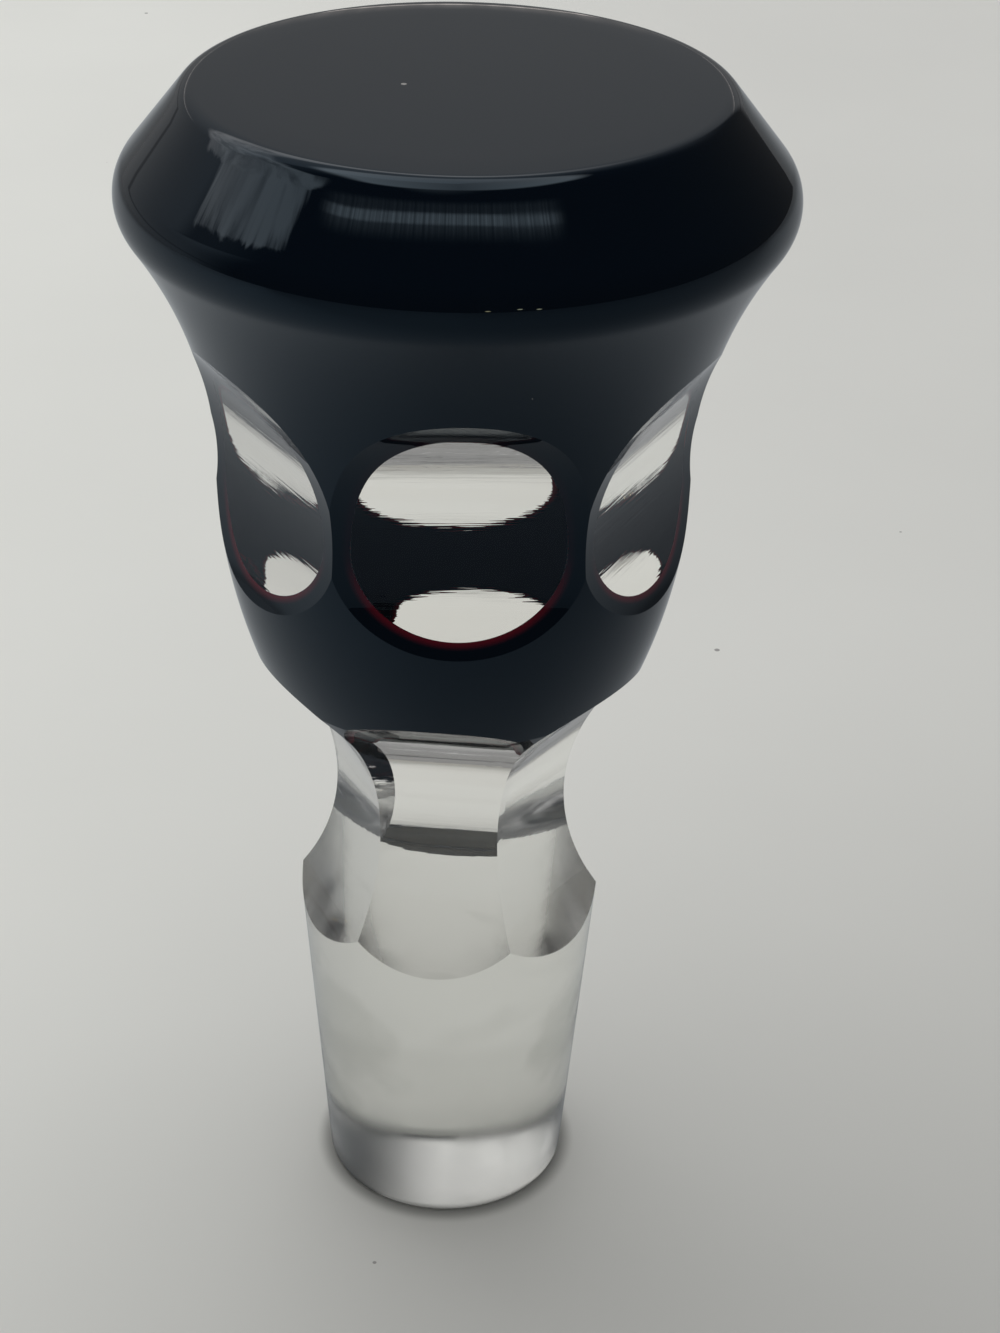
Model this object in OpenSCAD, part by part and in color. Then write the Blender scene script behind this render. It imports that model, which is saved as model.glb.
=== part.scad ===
// Cased and cut decanter stopper: a clear glass core, neck and plug,
// with a thin layer of dark glass fused over the head.
// It stands on the flat end of its plug, with the origin at that end's centre.

/* [Plug] */
// Radius of the plug's side where it would meet the flat end
plug_end_r = 8.9; // [8:0.1:9.4]
// Angle of the plug's side from upright, in degrees
plug_taper = 4.4; // [3:0.1:5]
// Radius of the rounding round the plug's flat end
plug_edge_round = 0.6; // [0.4:0.1:1]

/* [Neck] */
// Height of the neck's narrowest section above the plug's flat end
neck_h = 33.3; // [32:0.1:34.5]
// Distance from the axis to the middle of each of the neck's flats
neck_flat_r = 7.1; // [6.5:0.1:7.8]
// Turn of the neck's flats from the head's thumbprints, in degrees
neck_turn = -7.6; // [-15:0.1:15]

/* [Head] */
// Height of the waist above the plug's flat end
waist_h = 59.4; // [57:0.1:64]
// Radius of the waist before the thumbprints are cut
waist_r = 16; // [15.6:0.1:16.4]
// Radius of the neck before its flats are cut
neck_blank_r = 11.8; // [11.4:0.1:12.2]
// Height at which the uncut neck widens into the head's shoulder
shoulder_h = 42.5; // [42:0.1:43]
// Radius that the swelling curve under the waist would have at that height
shoulder_r = 12.45; // [12.3:0.05:13.2]
// Angle of the shoulder from upright, in degrees
shoulder_slope = 36; // [30:1:45]
// Height of the rim's middle above the waist
flare_h = 18.8; // [18:0.1:21]
// Largest radius of the rim
rim_r = 21.7; // [21:0.1:23]
// Radius of the rim's rounded edge
rim_round = 3.1; // [2.4:0.1:3.4]
// Height of the flat top above the rim's middle
bevel_h = 6.8; // [6:0.1:8]
// Radius at which the line of the bevel would meet the flat top
top_r = 17.1; // [15.5:0.1:17.5]
// Radius of the rounding round the flat top
top_edge_round = 1.5; // [1.2:0.1:2.5]

/* [Cutting] */
// Radius of the wheel that cuts the thumbprints and the neck's flats
wheel_r = 15.3; // [15:0.1:15.8]
// Distance from the axis to the floor of each thumbprint, at the waist
thumb_floor_r = 13.7; // [13.3:0.1:14.1]

/* [Dark layer] */
// Thickness of the dark glass over the flat top, the bevel and the rim
layer_t = 0.65; // [0.5:0.05:0.9]
// Thickness of the dark glass at the waist
waist_layer_t = 0.7; // [0.5:0.05:1]
// Thickness of the dark glass at the shoulder
foot_layer_t = 0.3; // [0.2:0.05:0.6]

/* [Hidden] */
$fn = 96;

cut_count = 6;
cut_step = 360 / cut_count;
// Turn that puts the first thumbprint on the -Y side
first_cut = -90;

rim_h = waist_h + flare_h;
top_h = rim_h + bevel_h;
wheel_w = 2 * rim_r;
// Depth by which a line or curve runs into a rounding, so that the two cross cleanly
blend = 0.01;

// Centre of the rim's rounding
rim_c = [rim_r - rim_round, rim_h];
// Direction in which the bevel faces, at a tangent to the rim's rounding
bevel_run = [top_r, top_h] - rim_c;
bevel_turn = atan2(bevel_run[1], bevel_run[0]) - acos((rim_round - blend) / norm(bevel_run));

// Unit vector in direction a
function toward(a) = [cos(a), sin(a)];
// Point where two lines meet, each given by the direction it faces and its distance from the origin
function meet(a, da, b, db) =
    [da * sin(b) - db * sin(a), db * cos(a) - da * cos(b)] / sin(b - a);
// Radius of the plug's cone at height z
function plug_r(z) = plug_end_r + z * tan(plug_taper);

// Radius of the hollow curve that leaves the waist upright and ends in a rim rounding of radius side_r
function flare_r(waist, side_r) = (pow(flare_h, 2) + pow(rim_c[0] - waist, 2) - pow(side_r - blend, 2))
    / (2 * (rim_c[0] - waist + side_r - blend));
// Radius of the swelling curve that leaves the waist upright and passes the shoulder
function swell_r(waist, shoulder) = (pow(waist_h - shoulder_h, 2) + pow(waist - shoulder, 2))
    / (2 * (waist - shoulder));

// What rounding takes off a corner, to leave an arc of radius r about c between two directions
module corner_waste(c, r, from, to) {
    difference() {
        polygon([c, c + 2 * r * toward(from), c + 2 * r * toward(to)]);
        translate(c) circle(r);
    }
}

// Half section of the head above its waist, its surface set in by inset and its waist at a given radius
module upper_head_section(inset, waist) {
    side_r = rim_round - inset;
    side_reach = toward(bevel_turn) * rim_c + side_r - blend;
    edge_r = top_edge_round - inset;
    edge_c = meet(bevel_turn, side_reach - edge_r + blend, 90, top_h - inset - edge_r + blend);
    hollow_r = flare_r(waist, side_r);
    hollow_c = [waist + hollow_r, waist_h];
    difference() {
        polygon([
            [0, waist_h], hollow_c, rim_c, rim_c + (side_r - blend) * toward(bevel_turn),
            meet(bevel_turn, side_reach, 90, top_h - inset), [0, top_h - inset]
        ]);
        translate(hollow_c) circle(hollow_r);
        corner_waste(edge_c, edge_r, bevel_turn, 90);
    }
    translate(rim_c) circle(side_r);
}

// Half section of the head below its waist, down to the neck's narrowest section
module lower_head_section(waist, foot_inset) {
    arc_r = swell_r(waist, shoulder_r - foot_inset);
    blank_r = neck_blank_r - foot_inset;
    intersection() {
        union() {
            translate([waist - arc_r, waist_h]) circle(arc_r);
            square([waist_r, shoulder_h]);
        }
        polygon([
            [0, neck_h], [blank_r, neck_h], [blank_r, shoulder_h],
            [blank_r + (waist_h - shoulder_h) * tan(shoulder_slope), waist_h], [0, waist_h]
        ]);
    }
}

// Half section of the head's outside
module outer_head_section() {
    upper_head_section(0, waist_r);
    lower_head_section(waist_r, 0);
}

// Half section of the clear glass inside the head
module inner_head_section() {
    upper_head_section(layer_t, waist_r - waist_layer_t);
    lower_head_section(waist_r - waist_layer_t, foot_layer_t);
}

// Half section of the plug, up to the neck's narrowest section
module plug_section() {
    edge_c = meet(-90, blend - plug_edge_round,
        -plug_taper, plug_end_r * cos(plug_taper) - plug_edge_round + blend);
    difference() {
        polygon([[0, 0], [plug_end_r, 0], [plug_r(neck_h), neck_h], [0, neck_h]]);
        corner_waste(edge_c, plug_edge_round, -90, -plug_taper);
    }
}

// Flat-faced wheel laid across the side of the glass, its nearest line at floor_r from the axis
module wheel(floor_r, height) {
    translate([floor_r + wheel_r, 0, height])
        rotate([90, 0, 0])
            cylinder(r = wheel_r, h = wheel_w, center = true);
}

// All that the wheel takes away: six thumbprints round the waist and six flats round the neck
module cuts() {
    for (k = [0 : cut_count - 1]) {
        rotate([0, 0, first_cut + k * cut_step]) wheel(thumb_floor_r, waist_h);
        rotate([0, 0, first_cut + neck_turn + k * cut_step]) wheel(neck_flat_r, neck_h);
    }
}

module clear_glass() {
    color([0.86, 0.88, 0.87, 0.45]) difference() {
        rotate_extrude() {
            inner_head_section();
            plug_section();
        }
        cuts();
    }
}

module dark_layer() {
    color([0.09, 0.02, 0.04]) difference() {
        rotate_extrude() difference() {
            outer_head_section();
            inner_head_section();
        }
        cuts();
    }
}

clear_glass();
dark_layer();
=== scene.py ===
"""Dresses the cased and cut glass stopper and sets it on a pale table under soft studio light.

The stopper is two glasses in one lump: a clear body, and a thin dark layer fused over its head that the
thumbprint cuts and the neck flats go through. Both are built as grids of exact points: revolved profiles
for the blank, and lines on the cutting wheel's cylinder for the cuts.
"""

import logging
import math
from collections.abc import Callable
from dataclasses import dataclass, field
from enum import Enum

import bmesh
import bpy
import numpy as np
from mathutils import Matrix, Vector

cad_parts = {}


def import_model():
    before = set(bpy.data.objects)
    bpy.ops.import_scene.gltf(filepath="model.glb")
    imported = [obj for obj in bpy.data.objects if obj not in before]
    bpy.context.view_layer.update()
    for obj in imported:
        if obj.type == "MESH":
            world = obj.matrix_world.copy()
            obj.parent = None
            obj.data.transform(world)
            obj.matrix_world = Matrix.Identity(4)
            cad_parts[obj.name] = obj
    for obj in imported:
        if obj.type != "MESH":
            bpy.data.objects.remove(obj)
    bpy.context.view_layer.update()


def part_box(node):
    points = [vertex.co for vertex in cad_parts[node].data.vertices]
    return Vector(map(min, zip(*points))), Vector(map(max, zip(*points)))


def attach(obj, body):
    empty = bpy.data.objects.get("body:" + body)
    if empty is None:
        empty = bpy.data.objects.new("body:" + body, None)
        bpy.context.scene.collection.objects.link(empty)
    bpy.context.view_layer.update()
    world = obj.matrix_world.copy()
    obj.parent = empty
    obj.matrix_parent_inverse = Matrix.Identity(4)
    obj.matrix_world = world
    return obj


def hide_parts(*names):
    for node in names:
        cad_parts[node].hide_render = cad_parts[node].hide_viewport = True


LOG = logging.getLogger("stopper")
MM = 0.001
# Points nearer to each other than this are one point, in metres
WELD = 0.0008 * MM
# An edge between faces that turn by more than this is sharp, in radians
CREASE = math.radians(9.0)
# Share of the wheel's radius, up or down from its middle, within which a cut's ends are looked for
SEARCH_SHARE = 0.95
# Reflections that a ray may need inside the neck before it leaves the glass
GLASS_BOUNCES = 20

Colour = tuple[float, float, float, float]
Triple = tuple[float, float, float]
# Two values of something, between which a soft edge or a range runs
Edge = tuple[float, float]
Socket = bpy.types.NodeSocket
Value = Socket | float | tuple[float, ...]


class Skin(Enum):
    """The dark layer's two finishes, by the place of each in the piece's list of materials."""

    POLISHED = 0
    LINING = 1


@dataclass(frozen=True)
class StopperForm:
    """The driving sizes of the stopper, in metres and degrees, and the curves that follow from them."""

    top_h: float
    rim_r: float
    layer_top_h: float
    plug_end_r: float = 8.9 * MM
    plug_taper: float = 4.4
    plug_edge_round: float = 0.6 * MM
    neck_h: float = 33.3 * MM
    neck_flat_r: float = 7.1 * MM
    neck_turn: float = -7.6
    waist_h: float = 59.4 * MM
    waist_r: float = 16.0 * MM
    neck_blank_r: float = 11.8 * MM
    shoulder_h: float = 42.5 * MM
    shoulder_r: float = 12.45 * MM
    shoulder_slope: float = 36.0
    bevel_h: float = 6.8 * MM
    rim_round: float = 3.1 * MM
    top_r: float = 17.1 * MM
    top_edge_round: float = 1.5 * MM
    wheel_r: float = 15.3 * MM
    thumb_floor_r: float = 13.7 * MM
    cut_count: int = 6
    first_cut: float = -90.0
    waist_layer_t: float = 0.7 * MM
    foot_layer_t: float = 0.3 * MM

    @property
    def layer_t(self) -> float:
        """Thickness of the dark layer, from the height by which it stands over the clear glass."""
        return self.top_h - self.layer_top_h

    @property
    def rim_centre(self) -> np.ndarray:
        """Centre of the rim's rounding, as (radius, height)."""
        return np.array([self.rim_r - self.rim_round, self.top_h - self.bevel_h])

    @property
    def bevel_turn(self) -> float:
        """Angle above level at which the bevel faces, in radians, from the tangent to the rim's rounding."""
        run = np.array([self.top_r, self.top_h]) - self.rim_centre
        return math.atan2(run[1], run[0]) - math.acos(self.rim_round / float(np.hypot(*run)))

    def waist_at(self, inset: float) -> float:
        """Radius at the waist of the surface that lies the inset under the rim's."""
        return self.waist_r - inset * self.waist_layer_t / self.layer_t

    def foot_inset(self, inset: float) -> float:
        """How far that same surface is set in at the foot of the layer."""
        return inset * self.foot_layer_t / self.layer_t

    def flare_arc(self, inset: float) -> tuple[np.ndarray, float]:
        """Finds the hollow curve, which leaves the waist upright and touches the rim's arc.

        With rise and reach from the waist to the rim's centre and r the rim's own radius, the curve's
        radius is (rise squared + reach squared - r squared) / (2 (reach + r)).

        Args:
            inset: How far the surface is set in from the outside.

        Returns:
            The curve's centre, as (radius, height), and its radius.
        """
        rise = self.rim_centre[1] - self.waist_h
        reach = self.rim_centre[0] - self.waist_at(inset)
        rim = self.rim_round - inset
        radius = (rise**2 + reach**2 - rim**2) / (2 * (reach + rim))
        return np.array([self.waist_at(inset) + radius, self.waist_h]), radius

    def lower_arc(self, inset: float) -> float:
        """Finds the radius of the swelling curve, which leaves the waist upright and passes the shoulder.

        Args:
            inset: How far the surface is set in from the outside.

        Returns:
            (drop squared + run squared) / (2 run), with drop and run from the waist to the shoulder.
        """
        drop = self.waist_h - self.shoulder_h
        run = self.waist_at(inset) - self.shoulder_r + self.foot_inset(inset)
        return (drop**2 + run**2) / (2 * run)

    def wheel_reach(self, height: np.ndarray, floor_r: float, centre_h: float) -> np.ndarray:
        """Distance from the axis to the wheel's face, measured square to the face's middle line.

        The wheel is a cylinder laid level across the glass, so in side view its face is the near half of a
        circle: reach = floor + wheel radius - sqrt(wheel radius squared - height from its centre squared).

        Args:
            height: Heights on the stopper.
            floor_r: Least distance of the face from the axis.
            centre_h: Height of the wheel's centre.

        Returns:
            The reach at each height.
        """
        across = np.clip(self.wheel_r**2 - (height - centre_h) ** 2, 0.0, None)
        return floor_r + self.wheel_r - np.sqrt(across)

    def thumb_reach(self, height: np.ndarray) -> np.ndarray:
        """Reach of the wheel that cut the thumbprints, at each height."""
        return self.wheel_reach(height, self.thumb_floor_r, self.waist_h)

    def flat_reach(self, height: np.ndarray) -> np.ndarray:
        """Reach of the wheel that cut the neck's flats, at each height."""
        return self.wheel_reach(height, self.neck_flat_r, self.neck_h)

    def plug_radius(self, height: np.ndarray) -> np.ndarray:
        """Radius of the plug's cone at each height."""
        return self.plug_end_r + height * math.tan(math.radians(self.plug_taper))

    def head_profile(self, inset: float, flare_to: float, steps: int) -> np.ndarray:
        """Outline of the head from the middle of its flat top down the flare to a height.

        A straight run over the top, an arc round its edge, a straight bevel, an arc round the rim and an arc
        down the hollow flare, each tangent to the next. The arcs keep their centres when the surface is set
        in, so rounded edges shrink and the hollow grows by the inset.

        Args:
            inset: How far the outline is set in from the outside.
            flare_to: Height at which the outline stops on the flare.
            steps: Number of rows on the longest arc.

        Returns:
            Rows of (radius, height), from the axis outwards and down.
        """
        turn, few = self.bevel_turn, steps // 3
        edge_r, rim_r = self.top_edge_round - inset, self.rim_round - inset
        flat_h = self.top_h - inset
        normal = np.array([math.cos(turn), math.sin(turn)])
        bevel_reach = float(normal @ self.rim_centre) + rim_r
        edge_h = flat_h - edge_r
        edge_x = (bevel_reach - edge_r - normal[1] * edge_h) / normal[0]
        edge = arc_points(np.array([edge_x, edge_h]), edge_r, math.pi / 2, turn, few)
        flare_centre, flare_r = self.flare_arc(inset)
        flare_foot = math.atan2(*(flare_centre - self.rim_centre)[::-1])
        rim = arc_points(self.rim_centre, rim_r, turn, flare_foot, steps)
        low = math.pi - math.asin((flare_to - flare_centre[1]) / flare_r)
        flare = arc_points(flare_centre, flare_r, math.pi + flare_foot, low, steps)
        flat = line_points(np.array([0.0, flat_h]), edge[0], few)
        bevel = line_points(edge[-1], rim[0], few)
        return np.concatenate([flat, edge[1:], bevel[1:], rim[1:], flare[1:]])

    def waist_radius(self, height: np.ndarray, inset: float) -> np.ndarray:
        """Radius of the blank about its waist and below, down to its neck.

        Above the waist it is the hollow flare, whose centre is outside, and below it a swelling arc whose
        centre is past the axis. Under the shoulder a cone takes over and then the neck's straight side.

        Args:
            height: Heights on the stopper.
            inset: How far the surface is set in from the outside.

        Returns:
            The radius at each height.
        """
        centre, radius = self.flare_arc(inset)
        drop = height - self.waist_h
        flare = centre[0] - np.sqrt(np.clip(radius**2 - drop**2, 0.0, None))
        swell, cone = self.lower_head(height, inset)
        below = np.where(height > self.shoulder_h, np.minimum(swell, cone), cone)
        return np.where(drop >= 0.0, flare, below)

    def lower_head(self, height: np.ndarray, inset: float) -> tuple[np.ndarray, np.ndarray]:
        """Radii of the two curves that bound the head under its waist.

        Args:
            height: Heights on the stopper.
            inset: How far the surface is set in from the outside.

        Returns:
            The swelling arc's radius and the cone's, at each height. The cone's is the neck's under it.
        """
        radius = self.lower_arc(inset)
        across = np.clip(radius**2 - (height - self.waist_h) ** 2, 0.0, None)
        swell = self.waist_at(inset) - radius + np.sqrt(across)
        slope = math.tan(math.radians(self.shoulder_slope))
        neck = self.neck_blank_r - self.foot_inset(inset)
        return swell, neck + np.clip(height - self.shoulder_h, 0.0, None) * slope


def line_points(start: np.ndarray, end: np.ndarray, steps: int) -> np.ndarray:
    """Evenly spaced points from start to end, both included."""
    return start + (end - start) * np.linspace(0.0, 1.0, steps + 1)[:, None]


def arc_points(centre: np.ndarray, radius: float, start: float, end: float, steps: int) -> np.ndarray:
    """Evenly turned points of a circle's arc from one angle to another, in radians, both included."""
    angle = np.linspace(start, end, steps + 1)
    return centre + radius * np.stack([np.cos(angle), np.sin(angle)], axis=1)


def bisect(function: Callable[[np.ndarray], np.ndarray], low: np.ndarray, high: np.ndarray,
           rounds: int = 60) -> np.ndarray:
    """Where an array of one-way functions changes sign, by halving all their brackets at once.

    Args:
        function: Takes the array of places and gives the array of values, of one sign at low and the other
            at high.
        low: One end of each bracket.
        high: The other end.
        rounds: Number of halvings.

    Returns:
        The place in each bracket.
    """
    side = np.sign(function(low))
    for _ in range(rounds):
        middle = (low + high) / 2
        same = np.sign(function(middle)) == side
        low, high = np.where(same, middle, low), np.where(same, high, middle)
    return (low + high) / 2


def on_cylinder(radius: np.ndarray, turn: np.ndarray, height: np.ndarray) -> np.ndarray:
    """Points at a radius, a turn about the axis in degrees and a height, as an array of (x, y, z)."""
    radius, turn, height = np.broadcast_arrays(radius, np.radians(turn), height)
    return np.stack([radius * np.cos(turn), radius * np.sin(turn), height], axis=-1)


@dataclass
class GridMesh:
    """Grids of points with their faces, gathered to be welded into one mesh."""

    points: list[np.ndarray] = field(default_factory=list)
    faces: list[np.ndarray] = field(default_factory=list)
    count: int = 0

    def add(self, grid: np.ndarray, flip: bool = False) -> None:
        """Adds one grid of points as quads between neighbouring rows and columns.

        Args:
            grid: Points as (rows, columns, 3), with the outside on the left of the way rows then columns run.
            flip: Whether the faces look the other way.
        """
        rows, columns = grid.shape[:2]
        index = np.arange(rows * columns).reshape(rows, columns) + self.count
        a, b = index[:-1, :-1].ravel(), index[:-1, 1:].ravel()
        c, d = index[1:, 1:].ravel(), index[1:, :-1].ravel()
        quads = np.stack([a, b, c, d] if flip else [a, d, c, b], axis=1)
        self.points.append(grid.reshape(-1, 3))
        self.faces.append(quads)
        self.count += rows * columns

    def build(self, name: str) -> bpy.types.Object:
        """Welds the grids into one closed mesh with crisp cut edges and smooth faces between them.

        Args:
            name: Name of the object and its mesh.

        Returns:
            The object, linked to the scene.
        """
        mesh = bpy.data.meshes.new(name)
        mesh.from_pydata(np.concatenate(self.points).tolist(), [], np.concatenate(self.faces).tolist())
        work = bmesh.new()
        work.from_mesh(mesh)
        bmesh.ops.remove_doubles(work, verts=work.verts, dist=WELD)
        bmesh.ops.dissolve_degenerate(work, edges=work.edges, dist=WELD)
        loose = [edge for edge in work.edges if not edge.link_faces]
        bmesh.ops.delete(work, geom=loose, context="EDGES")
        open_edges = sum(1 for edge in work.edges if not edge.is_manifold)
        work.to_mesh(mesh)
        work.free()
        mesh.shade_smooth()
        mesh.set_sharp_from_angle(angle=CREASE)
        piece = bpy.data.objects.new(name, mesh)
        bpy.context.scene.collection.objects.link(piece)
        LOG.info("%s: %d faces, %d open edges", name, len(mesh.polygons), open_edges)
        return piece


@dataclass(frozen=True)
class HeadGrid:
    """Rows and columns that the two pieces of the head share, so that their seams meet point to point."""

    form: StopperForm
    half_columns: int = 20
    tip_rows: int = 22
    ridge_rows: int = 12
    profile_steps: int = 18
    lower_rows: int = 20
    cone_rows: int = 5

    @property
    def half_turn(self) -> float:
        """Half of the turn from one cut to the next, in degrees."""
        return 180.0 / self.form.cut_count

    @property
    def turns(self) -> np.ndarray:
        """The columns' turns round the whole head, in degrees, from the first cut back to itself."""
        count = 2 * self.half_columns * self.form.cut_count
        return self.form.first_cut + np.linspace(0.0, 360.0, count + 1)

    @property
    def neck_turns(self) -> np.ndarray:
        """The columns' turns round the neck, which is turned from the head."""
        return self.turns + self.form.neck_turn

    @property
    def turns_from_cut(self) -> np.ndarray:
        """Each column's turn from the middle of the nearest cut, in degrees."""
        return self.from_cut(self.turns - self.form.first_cut)

    def from_cut(self, turn: np.ndarray) -> np.ndarray:
        """Turn from the middle of the nearest cut, for a turn counted from the first, in degrees."""
        return (turn + self.half_turn) % (2 * self.half_turn) - self.half_turn

    def thumb_limits(self, inset: float) -> tuple[float, float]:
        """Finds the heights of the highest and lowest points of a thumbprint's outline on one skin.

        Args:
            inset: How far the skin is set in from the outside.

        Returns:
            The upper height and the lower.
        """
        form = self.form

        def clear(height: np.ndarray) -> np.ndarray:
            """Thickness of the glass that the wheel takes, which is nothing at a tip."""
            return form.waist_radius(height, inset) - form.thumb_reach(height)

        waist = np.array([form.waist_h, form.waist_h])
        far = form.waist_h + np.array([SEARCH_SHARE, -SEARCH_SHARE]) * form.wheel_r
        top, low = bisect(clear, waist, far)
        return float(top), float(low)

    def thumb_half_angle(self, height: np.ndarray, inset: float) -> np.ndarray:
        """Finds the turn from a thumbprint's middle to its outline on one skin, up to the ridge.

        The outline is where the wheel's reach over the cosine of the turn equals the skin's radius.

        Args:
            height: Heights on the stopper.
            inset: How far the skin is set in from the outside.

        Returns:
            The turn at each height, in degrees.
        """
        form = self.form
        share = form.thumb_reach(height) / form.waist_radius(height, inset)
        angle = np.degrees(np.arccos(np.clip(share, -1.0, 1.0)))
        return np.minimum(angle, self.half_turn)

    def thumb_rows(self, inset: float) -> np.ndarray:
        """Heights of the rows across a thumbprint, closest together at its two tips and on its ridges.

        The outline nears each tip as the square root of the height left, so rows set by the square of an
        even step follow it smoothly. Between the two ends of the ridge, where neighbouring thumbprints
        meet, they are even.

        Args:
            inset: How far the skin is set in from the outside.

        Returns:
            Heights from the upper tip to the lower.
        """
        form = self.form
        top, low = self.thumb_limits(0.0)
        ridge = math.cos(math.radians(self.half_turn))

        def past(height: np.ndarray) -> np.ndarray:
            """How far the outline stops short of the ridge, which is nothing at the ridge's ends."""
            return form.thumb_reach(height) - form.waist_radius(height, 0.0) * ridge

        waist = np.array([form.waist_h, form.waist_h])
        upper, lower = bisect(past, waist, np.array([top, low]))
        step = np.linspace(0.0, 1.0, self.tip_rows + 1)
        first = top - (top - upper) * step**2
        last = low + (lower - low) * step[::-1] ** 2
        middle = np.linspace(upper, lower, self.ridge_rows + 1)
        rows = np.concatenate([first, middle[1:], last[1:]])
        here_top, here_low = self.thumb_limits(inset)
        return here_low + (rows - low) * (here_top - here_low) / (top - low)

    def flat_top(self, inset: float) -> np.ndarray:
        """Finds the height at which each column meets the top of the neck's flats on one skin.

        Args:
            inset: How far the skin is set in from the outside.

        Returns:
            The height at each column.
        """
        form = self.form
        cosine = np.cos(np.radians(self.turns_from_cut))

        def clear(height: np.ndarray) -> np.ndarray:
            """Thickness of the glass that the wheel takes at each column."""
            return form.waist_radius(height, inset) * cosine - form.flat_reach(height)

        low = np.full_like(cosine, form.neck_h)
        return bisect(clear, low, low + SEARCH_SHARE * form.wheel_r)

    def shoulder_crease(self, inset: float) -> float:
        """Finds the height at which the shoulder's cone leaves the swelling arc on one skin.

        Args:
            inset: How far the skin is set in from the outside.

        Returns:
            The height, which lies in the lower half of the way from the shoulder to the waist.
        """
        form = self.form

        def apart(height: np.ndarray) -> np.ndarray:
            """How far the arc lies outside the cone."""
            swell, cone = form.lower_head(height, inset)
            return swell - cone

        low = np.array([form.shoulder_h])
        return float(bisect(apart, low, low + 0.5 * (form.waist_h - form.shoulder_h))[0])

    def skin(self, mesh: GridMesh, inset: float, flip: bool = False) -> None:
        """Adds the head's skin outside all cuts: top, bevel, rim, flare, waist strips and lower head.

        Args:
            mesh: The mesh that takes the grids.
            inset: How far the skin is set in from the outside.
            flip: Whether it faces the axis, as the inside of the layer does.
        """
        form = self.form
        top, low = self.thumb_limits(inset)
        profile = form.head_profile(inset, top, self.profile_steps)
        mesh.add(on_cylinder(profile[:, :1], self.turns[None, :], profile[:, 1:]), flip)
        rows = self.thumb_rows(inset)
        edge = self.thumb_half_angle(rows, inset)
        radius = form.waist_radius(rows, inset)
        share = np.linspace(0.0, 1.0, self.half_columns + 1)
        for cut in range(form.cut_count):
            middle = form.first_cut + 2 * self.half_turn * cut
            turn = edge[:, None] + (self.half_turn - edge)[:, None] * share
            mesh.add(on_cylinder(radius[:, None], middle + turn, rows[:, None]), flip)
            mesh.add(on_cylinder(radius[:, None], middle - turn[:, ::-1], rows[:, None]), flip)
        foot = self.flat_top(inset)
        crease = np.maximum(foot, self.shoulder_crease(inset))
        step = np.linspace(0.0, 1.0, self.lower_rows + 1)[:, None]
        turns = self.turns[None, :] + form.neck_turn * step
        height = low + (crease - low)[None, :] * step
        mesh.add(on_cylinder(form.waist_radius(height, inset), turns, height), flip)
        height = crease + (foot - crease)[None, :] * step[:: self.lower_rows // self.cone_rows]
        turns = np.broadcast_to(self.neck_turns, height.shape)
        mesh.add(on_cylinder(form.waist_radius(height, inset), turns, height), flip)


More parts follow.
